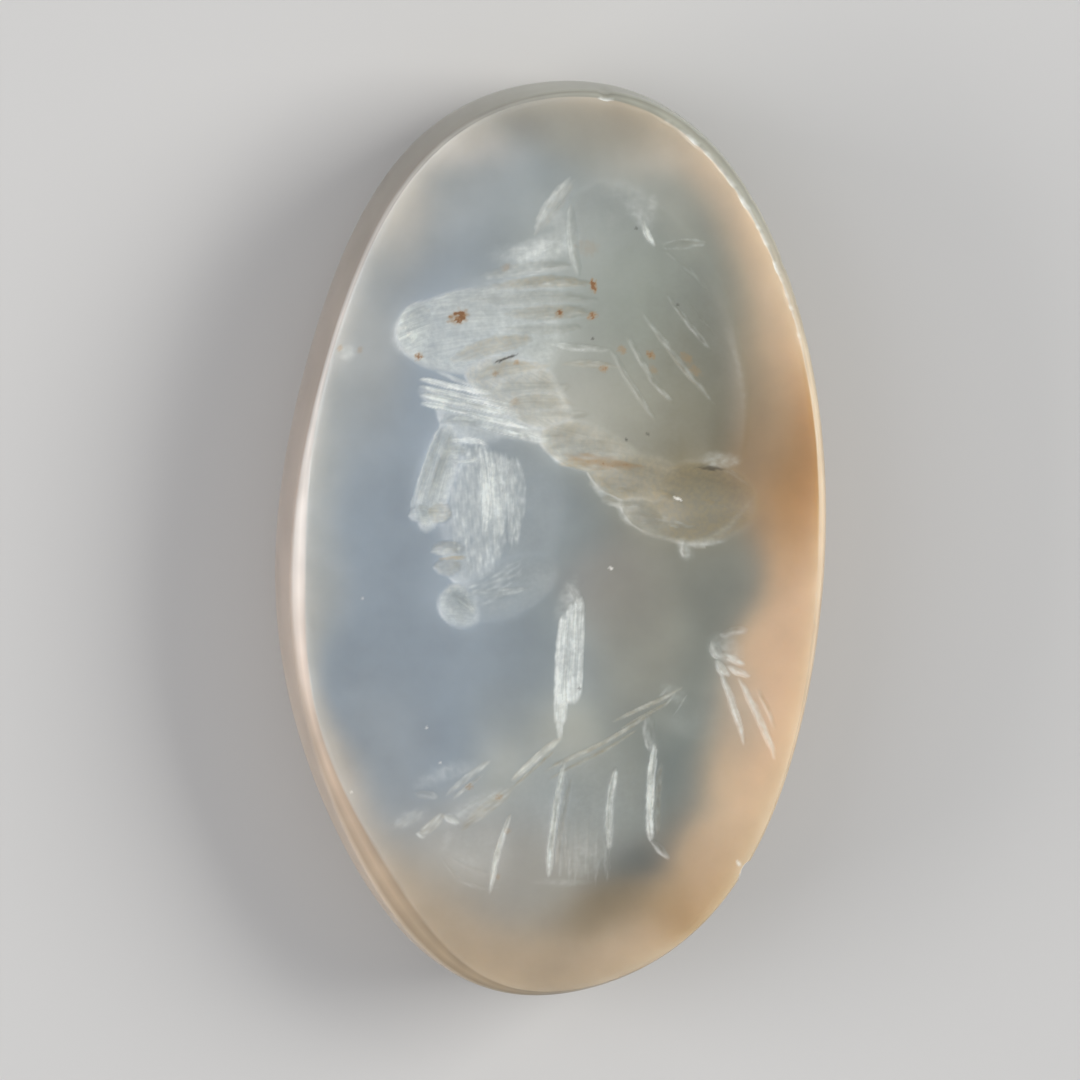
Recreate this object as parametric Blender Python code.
"""An oval chalcedony ringstone with a helmeted bust sunk into its face, lying on its flat back.

The long axis of the oval runs along Y with the crest of the helmet at +Y. The engraved face
looks up (+Z) and the bust looks towards -X. Lengths are in metres.

The stone is a loft of oval rings. Every form of the bust is the hollow that a small round drill
or a thin wheel leaves: an ellipsoid that dips into the domed face.
"""
import math

import bmesh
import bpy
from mathutils import Matrix, Vector

MM = 0.001

# The stone
LENGTH = 16.0 * MM
WIDTH = 9.56 * MM
THICKNESS = 3.3 * MM
DOME_RISE = 0.45 * MM
BEVEL_DROP = 0.17 * MM
WALL_BULGE = 0.05 * MM
BACK_TAPER = 1.0 * MM
BACK_INSET = 1.0 * MM

# The polished bevel round the face is thin, with wider facets where the stone was ground again:
# the way each faces in degrees, what it adds to the width, and its spread in degrees
BEVEL_WIDTH = 0.06 * MM
BEVEL_FACETS = (
    (-128, 0.34 * MM, 26),
    (184, 0.20 * MM, 15),
    (55, 0.17 * MM, 32),
    (0, 0.12 * MM, 26),
)

# How the hand-ground oval leaves a true one: waves round the edge, their share of the radius,
# and the way their first crest faces in degrees
GRINDING = (
    (1, 0.011, 5),
    (2, 0.006, 141),
    (3, 0.006, -144),
    (4, 0.007, 176),
    (5, 0.006, -143),
    (6, 0.006, 51),
)

# The bust: the plain field left round it, how far it leans from the stone's long axis, and the
# depth of the helmet's hollow, of which every other depth is a share
FIELD_ABOVE = 1.43 * MM
FIELD_BELOW = 1.90 * MM
FIELD_FRONT = 1.76 * MM
FIELD_BACK = 1.00 * MM
BUST_LEAN = math.radians(1.9)
HELMET_DEPTH = 0.55 * MM

# Places on the bust are in hundredths of its height, across from its front and up from its
# lower edge, and it is this many of them wide
BUST_ACROSS = 53.7
BUST_UP = 100.0

# The face, in the same hundredths: its brow, its chin, the line of its forehead, the back of its jaw
BROW = 66.5
CHIN = 37.5
FOREHEAD = 6.8
JAW_BACK = 22.0

# How finely the stone and the cuts are faceted
STONE_SIDES = 80
FACE_RINGS = 3
BOWL_SIDES = 18
BOWL_RINGS = 12
GROOVE_SIDES = 10
GROOVE_RINGS = 8

FACE_EDGE = THICKNESS - DOME_RISE
WALL_TOP = FACE_EDGE - BEVEL_DROP
STEP_ACROSS = (WIDTH - FIELD_FRONT - FIELD_BACK) / BUST_ACROSS
STEP_UP = (LENGTH - FIELD_ABOVE - FIELD_BELOW) / BUST_UP
STEP = (STEP_ACROSS + STEP_UP) / 2


def clear_scene():
    for leftover in list(bpy.data.objects):
        bpy.data.objects.remove(leftover, do_unlink=True)


def new_collection(name):
    collection = bpy.data.collections.new(name)
    bpy.context.scene.collection.children.link(collection)
    return collection


def chalcedony():
    material = bpy.data.materials.new("chalcedony")
    material.use_nodes = True
    shader = material.node_tree.nodes["Principled BSDF"]
    shader.inputs["Base Color"].default_value = (0.33, 0.36, 0.37, 1.0)
    shader.inputs["Roughness"].default_value = 0.15
    shader.inputs["Metallic"].default_value = 0.0
    return material


def ground_oval(turn):
    """A point of the hand-ground oval, before it is sized, with a true one as a unit circle."""
    radius = 1.0
    for waves, share, facing in GRINDING:
        radius += share * math.cos(waves * turn - math.radians(facing))
    return Vector((radius * math.cos(turn), radius * math.sin(turn)))


def oval_limits():
    """The lowest and highest corners of the oval over the stone's own sides."""
    points = [ground_oval(math.tau * side / STONE_SIDES) for side in range(STONE_SIDES)]
    low = Vector((min(p.x for p in points), min(p.y for p in points)))
    high = Vector((max(p.x for p in points), max(p.y for p in points)))
    return low, high


OVAL_LOW, OVAL_HIGH = oval_limits()


def outline(turn, inset):
    """A point of the stone's outline, LENGTH by WIDTH, moved in by the inset."""
    raw = ground_oval(turn)
    x = WIDTH * ((raw.x - OVAL_LOW.x) / (OVAL_HIGH.x - OVAL_LOW.x) - 0.5)
    y = LENGTH * ((raw.y - OVAL_LOW.y) / (OVAL_HIGH.y - OVAL_LOW.y) - 0.5)
    outward = Vector((math.cos(turn) / WIDTH, math.sin(turn) / LENGTH)).normalized()
    return Vector((x, y)) - inset * outward


def bevel_width(turn):
    width = BEVEL_WIDTH
    for facing, extra, spread in BEVEL_FACETS:
        away = (math.degrees(turn) - facing + 180.0) % 360.0 - 180.0
        width += extra * math.exp(-((away / spread) ** 2))
    return width


def dome_height(x, y):
    """Height of the gently domed face above the floor."""
    away = (2 * x / WIDTH) ** 2 + (2 * y / LENGTH) ** 2
    return FACE_EDGE + DOME_RISE * (1.0 - away)


def dome_normal(x, y):
    slope_x = -8 * DOME_RISE * x / WIDTH ** 2
    slope_y = -8 * DOME_RISE * y / LENGTH ** 2
    return Vector((-slope_x, -slope_y, 1.0)).normalized()


def stone_rings():
    """One function of the turn for each ring of the loft, from the flat back up to the face."""
    half_wall = (BACK_TAPER + WALL_TOP) / 2
    levels = (
        (BACK_INSET, 0.0),
        (BACK_INSET / 3, BACK_TAPER / 2),
        (WALL_BULGE, BACK_TAPER),
        (0.0, half_wall),
        (WALL_BULGE, WALL_TOP),
    )
    rings = [lambda turn, i=inset, z=height: (*outline(turn, i), z) for inset, height in levels]
    for ring in range(FACE_RINGS):
        share = 1.0 - ring / FACE_RINGS

        def face_ring(turn, share=share):
            x, y = share * outline(turn, WALL_BULGE + bevel_width(turn))
            return (x, y, dome_height(x, y))

        rings.append(face_ring)
    return rings


def make_stone(collection):
    """Extrudes a circle ring by ring, then sets each ring on its own oval."""
    bm = bmesh.new()
    first = bmesh.ops.create_circle(bm, cap_ends=True, segments=STONE_SIDES, radius=1.0)
    bmesh.ops.reverse_faces(bm, faces=bm.faces)
    loops = [first["verts"]]
    rings = stone_rings()
    edges = list(bm.edges)
    for _ in rings[1:]:
        made = bmesh.ops.extrude_edge_only(bm, edges=edges)["geom"]
        loops.append([part for part in made if isinstance(part, bmesh.types.BMVert)])
        loop = set(loops[-1])
        edges = [edge for edge in bm.edges if loop.issuperset(edge.verts)]
    top = bmesh.ops.contextual_create(bm, geom=edges)["faces"]
    for loop, place in zip(loops, rings):
        for vert in loop:
            vert.co = place(math.atan2(vert.co.y, vert.co.x))
    middle = bmesh.ops.poke(bm, faces=top)["verts"][0]
    middle.co = (0.0, 0.0, dome_height(0.0, 0.0))
    bmesh.ops.recalc_face_normals(bm, faces=bm.faces)
    mesh = bpy.data.meshes.new("gem")
    bm.to_mesh(mesh)
    bm.free()
    mesh.shade_smooth()
    mesh.set_sharp_from_angle(angle=math.radians(30))
    mesh.materials.append(chalcedony())
    gem = bpy.data.objects.new("gem", mesh)
    collection.objects.link(gem)
    return gem


def on_face(across, up):
    """Turns a place on the bust into x and y on the stone."""
    x = -WIDTH / 2 + FIELD_FRONT + across * STEP_ACROSS
    y = -LENGTH / 2 + FIELD_BELOW + up * STEP_UP
    return Matrix.Rotation(BUST_LEAN, 2) @ Vector((x, y))


def between(first, last, share):
    """A place that share of the way from the first place to the last."""
    return tuple(a + (b - a) * share for a, b in zip(first, last))


class Engraver:
    """Adds ellipsoid cutters and remembers the broad ones, so that grooves follow their floors."""

    def __init__(self, cutters):
        self.cutters = cutters
        self.hollows = []

    def floor(self, place):
        """The point straight below a place on the bust, on the face or in a hollow cut so far."""
        x, y = on_face(*place)
        height = dome_height(x, y)
        for hollow in self.hollows:
            from_below = hollow @ Vector((x, y, 0.0))
            rise = hollow.to_3x3() @ Vector((0.0, 0.0, 1.0))
            half = from_below.dot(rise)
            reach = half ** 2 - rise.dot(rise) * (from_below.dot(from_below) - 1.0)
            if reach > 0.0:
                height = min(height, (-half - math.sqrt(reach)) / rise.dot(rise))
        return Vector((x, y, height))

    def sink(self, name, head, foot, middle, width, depth, lift, sides, rings):
        """An ellipsoid that cuts an oval hollow from head to foot, as deep as it says at its middle.

        The lift, from 0 to 1, is how high the ellipsoid's own middle stands above the surface:
        0 gives steep edges, near 1 a shallow dish.
        """
        along = foot - head
        spread = 1.0 / math.sqrt(1.0 - lift ** 2)
        half_long = along.length / 2 * spread
        half_wide = width * STEP / 2 * spread
        half_deep = depth * HELMET_DEPTH / (1.0 - lift)
        sideways = dome_normal(middle.x, middle.y).cross(along).normalized()
        forward = along.normalized()
        upward = forward.cross(sideways)
        centre = middle + upward * (lift * half_deep)
        turned = Matrix((forward, sideways, upward)).transposed().to_4x4()
        sized = Matrix.Diagonal((half_long, half_wide, half_deep, 1.0))
        ellipsoid = Matrix.Translation(centre) @ turned @ sized
        bm = bmesh.new()
        bmesh.ops.create_uvsphere(bm, u_segments=sides, v_segments=rings, radius=1.0)
        bm.transform(ellipsoid @ Matrix.Rotation(math.pi / 2, 4, "Y"))
        mesh = bpy.data.meshes.new(name)
        bm.to_mesh(mesh)
        bm.free()
        cutter = bpy.data.objects.new(name, mesh)
        cutter.hide_render = True
        cutter.display_type = "WIRE"
        self.cutters.objects.link(cutter)
        return ellipsoid

    def bowl(self, name, start, end, width, depth, lift=0.25):
        """A broad smooth hollow. Its depth is a share of the helmet's, below the polished face."""
        head, foot = (Vector((*on_face(*place), 0.0)) for place in (start, end))
        for point in (head, foot):
            point.z = dome_height(point.x, point.y)
        middle = (head + foot) / 2
        middle.z = dome_height(middle.x, middle.y)
        ellipsoid = self.sink(name, head, foot, middle, width, depth, lift, BOWL_SIDES, BOWL_RINGS)
        self.hollows.append(ellipsoid.inverted())

    def groove(self, name, start, end, width, depth, lift=0.35):
        """A wheel stroke or drill mark. Its depth is below whatever is there already."""
        head, foot = self.floor(start), self.floor(end)
        middle = self.floor(between(start, end, 0.5))
        self.sink(name, head, foot, middle, width, depth, lift, GROOVE_SIDES, GROOVE_RINGS)


def helmet(tool):
    """The big smooth bowl, its peak pushed up off the brow, and the crest's edges."""
    tool.bowl("helmet_bowl", (39.0, 57.5), (28.0, 96.5), 27.0, 1.0, lift=0.4)
    tool.bowl("helmet_crown", (30.5, 82.0), (30.0, 97.6), 13.0, 0.5, lift=0.5)
    tool.bowl("helmet_back", (45.2, 57.5), (39.8, 88.5), 11.6, 0.6, lift=0.5)
    tool.bowl("peak", (1.2, 77.4), (24.0, 79.6), 11.6, 0.62)
    tool.bowl("peak_tip", (4.9, 74.4), (4.7, 82.4), 8.2, 0.5)
    tool.bowl("peak_root", (12.0, 77.6), (33.0, 81.0), 13.5, 0.72)
    tool.groove("crest_front", (24.8, 99.8), (19.4, 92.3), 1.3, 0.2)
    tool.groove("crest_fold", (25.0, 96.2), (27.6, 85.0), 2.0, 0.22)
    tool.groove("crest_back", (33.6, 95.2), (37.2, 89.6), 2.2, 0.26)
    tool.groove("crest_tail", (37.4, 89.3), (44.1, 89.5), 1.9, 0.16)


def hair(tool):
    """Locks in rows behind the peak, the fall of hair over the neck, and the roll at the nape."""
    tool.bowl("hair_mass", (10.5, 75.0), (26.0, 65.5), 9.0, 0.55)
    tool.bowl("hair_over_ear", (20.5, 63.8), (36.5, 60.6), 7.6, 0.6)
    tool.bowl("hair_to_nape", (27.2, 59.8), (41.3, 55.8), 7.4, 0.6)
    tool.bowl("nape_roll", (34.3, 54.6), (50.6, 53.4), 10.6, 0.68, lift=0.4)
    tool.bowl("nape_curl", (32.0, 54.5), (39.0, 50.4), 4.6, 0.42)
    locks = (
        ((14.4, 86.6), (25.8, 86.6), 2.2, 0.24),
        ((13.4, 84.4), (29.4, 83.7), 2.2, 0.26),
        ((16.9, 80.6), (30.4, 79.4), 2.0, 0.22),
        ((20.6, 77.0), (31.6, 75.6), 1.6, 0.18),
        ((10.6, 74.9), (20.8, 78.0), 2.2, 0.24),
        ((10.1, 73.0), (22.4, 73.9), 2.2, 0.24),
        ((15.0, 70.6), (24.0, 71.2), 2.0, 0.22),
        ((16.3, 67.9), (25.6, 68.1), 2.0, 0.22),
        ((19.4, 64.6), (29.2, 65.4), 2.0, 0.22),
        ((23.0, 60.4), (34.6, 59.8), 1.8, 0.2),
    )
    for number, (start, end, width, depth) in enumerate(locks):
        tool.groove(f"lock_{number}", start, end, width, depth)


def helmet_band(tool):
    """Four thin wheel lines side by side along the helmet's rim over the brow."""
    front_low, front_high = (4.6, 68.4), (4.8, 72.0)
    back_low, back_high = (20.0, 62.4), (22.0, 64.6)
    lines = 4
    for line in range(lines):
        share = line / (lines - 1)
        start = between(front_low, front_high, share)
        end = between(back_low, back_high, share)
        tool.groove(f"band_{line}", start, end, 1.3, 0.36, lift=0.0)


def hatching(tool):
    """Thin slanting strokes on the back of the helmet."""
    strokes = (
        ((31.5, 75.4), (37.3, 65.4)),
        ((33.7, 77.0), (40.1, 67.5)),
        ((35.7, 80.2), (45.4, 67.5)),
        ((39.3, 81.7), (45.6, 74.0)),
    )
    for number, (start, end) in enumerate(strokes):
        tool.groove(f"hatch_{number}", start, end, 1.1, 0.2, lift=0.1)


def face(tool):
    """A calm classical profile on textbook proportions, not a likeness of anybody.

    The nose is as long as the distance from its base to the chin, the mouth lies a third of
    the way down that distance, and the eye sits a third of the nose's length below the brow.
    """
    third = (BROW - CHIN) / 2
    nose_base = BROW - third
    mouth = nose_base - third / 3
    eye = BROW - third / 3
    tip = FOREHEAD - third * 0.3
    lips = FOREHEAD - third * 0.04
    tool.bowl("cheek", (15.0, BROW - 1.5), (14.8, mouth - 4.0), 16.0, 0.46, lift=0.5)
    tool.bowl("forehead", (FOREHEAD - 0.4, BROW + 1.0), (FOREHEAD + 9.0, BROW - 3.0), 5.0, 0.3, lift=0.4)
    tool.bowl("nose", (FOREHEAD + 1.8, BROW - 0.5), (tip + 2.2, nose_base - 0.8), 5.0, 0.44, lift=0.3)
    tool.bowl("muzzle", (FOREHEAD + 0.6, mouth), (FOREHEAD + 8.6, mouth), 9.0, 0.34, lift=0.4)
    tool.bowl("jaw", (FOREHEAD + 2.0, CHIN + 3.0), (JAW_BACK, mouth - 1.5), 7.4, 0.42, lift=0.5)
    tool.bowl("chin", (FOREHEAD - 0.4, CHIN + 3.2), (FOREHEAD + 6.0, CHIN + 3.0), 6.2, 0.5, lift=0.4)
    tool.groove("bridge", (FOREHEAD + 0.8, BROW - 3.0), (tip + 2.2, nose_base + 4.2), 1.8, 0.16, lift=0.5)
    tool.groove("nose_tip", (tip, nose_base + 1.5), (tip + 3.4, nose_base + 1.1), 2.6, 0.3)
    tool.groove("nostril", (tip + 2.8, nose_base + 1.3), (tip + 6.0, nose_base + 1.4), 2.6, 0.28)
    tool.groove("brow", (FOREHEAD - 0.2, BROW - 0.6), (FOREHEAD + 7.4, BROW - 1.2), 1.6, 0.22)
    tool.groove("eye", (FOREHEAD + 1.4, eye), (FOREHEAD + 5.6, eye + 0.3), 2.3, 0.32)
    tool.groove("eyelid", (FOREHEAD + 0.8, eye + 1.4), (FOREHEAD + 6.4, eye + 1.2), 1.0, 0.18)
    tool.groove("upper_lip", (lips - 0.9, mouth + 1.3), (lips + 4.2, mouth + 0.9), 2.2, 0.32)
    tool.groove("lower_lip", (lips - 0.5, mouth - 1.3), (lips + 3.8, mouth - 0.9), 2.3, 0.32)


def neck(tool):
    tool.bowl("neck", (31.0, 22.0), (31.8, 54.0), 17.0, 0.42, lift=0.4)
    tool.groove("throat", (25.2, 24.6), (25.0, 42.4), 4.0, 0.45)
    tool.groove("throat_foot", (23.4, 26.0), (24.8, 18.6), 1.5, 0.2)


def drapery(tool):
    """The cloak: a soft chest, the doubled edge of its neckline, and deep hanging folds."""
    tool.bowl("chest", (12.4, 12.4), (38.7, 13.4), 22.0, 0.26, lift=0.6)
    tool.bowl("shoulder_front", (5.4, 8.4), (17.0, 4.2), 8.6, 0.18, lift=0.6)
    tool.bowl("shoulder_back", (37.0, 24.0), (46.0, 25.4), 6.4, 0.16, lift=0.6)
    edges = (
        ((39.6, 28.6), (23.8, 19.6), 1.0, 0.2),
        ((38.8, 27.0), (23.4, 17.6), 1.0, 0.2),
        ((23.6, 21.6), (11.0, 11.2), 1.2, 0.2),
        ((23.0, 19.6), (11.6, 9.9), 1.0, 0.2),
        ((14.2, 18.8), (5.2, 12.4), 1.1, 0.18),
        ((13.2, 17.4), (5.6, 11.2), 0.9, 0.18),
        ((3.2, 13.9), (7.9, 14.9), 1.3, 0.18),
        ((0.0, 9.4), (5.3, 13.2), 1.8, 0.22),
        ((3.4, 8.1), (8.4, 11.7), 1.7, 0.24),
        ((6.9, 10.6), (10.6, 9.6), 1.6, 0.28),
        ((9.0, 7.8), (16.6, 13.6), 1.7, 0.26),
    )
    for number, (start, end, width, depth) in enumerate(edges):
        tool.groove(f"cloak_edge_{number}", start, end, width, depth)
    folds = (
        ((17.2, 13.2), (13.6, 0.1), 1.7, 0.26),
        ((24.8, 18.0), (21.9, 2.2), 2.2, 0.34),
        ((31.8, 18.4), (30.2, 5.6), 1.9, 0.28),
        ((35.0, 24.2), (36.3, 6.0), 2.8, 0.4),
        ((36.0, 8.4), (38.6, 4.6), 1.5, 0.26),
    )
    for number, (start, end, width, depth) in enumerate(folds):
        tool.groove(f"fold_{number}", start, end, width, depth)


def shoulder_tie(tool):
    """The knot on the far shoulder and the ends of its ribbon."""
    tool.groove("knot_upper", (45.4, 35.2), (49.2, 35.6), 1.5, 0.22)
    tool.groove("knot_lower", (44.8, 33.8), (48.9, 32.0), 1.9, 0.28)
    ends = (
        ((45.9, 30.8), (49.1, 20.6), 1.2),
        ((47.7, 29.8), (52.4, 20.2), 1.4),
        ((51.4, 27.2), (53.7, 21.4), 0.9),
    )
    for number, (start, end, width) in enumerate(ends):
        tool.groove(f"ribbon_{number}", start, end, width, 0.24)


def engrave(gem, cutters):
    cut = gem.modifiers.new("engraving", "BOOLEAN")
    cut.operation = "DIFFERENCE"
    cut.solver = "EXACT"
    cut.operand_type = "COLLECTION"
    cut.collection = cutters


def main():
    clear_scene()
    gem = make_stone(new_collection("intaglio_gem"))
    cutters = new_collection("drill_and_wheel_cuts")
    tool = Engraver(cutters)
    helmet(tool)
    hair(tool)
    helmet_band(tool)
    hatching(tool)
    face(tool)
    neck(tool)
    drapery(tool)
    shoulder_tie(tool)
    engrave(gem, cutters)


main()
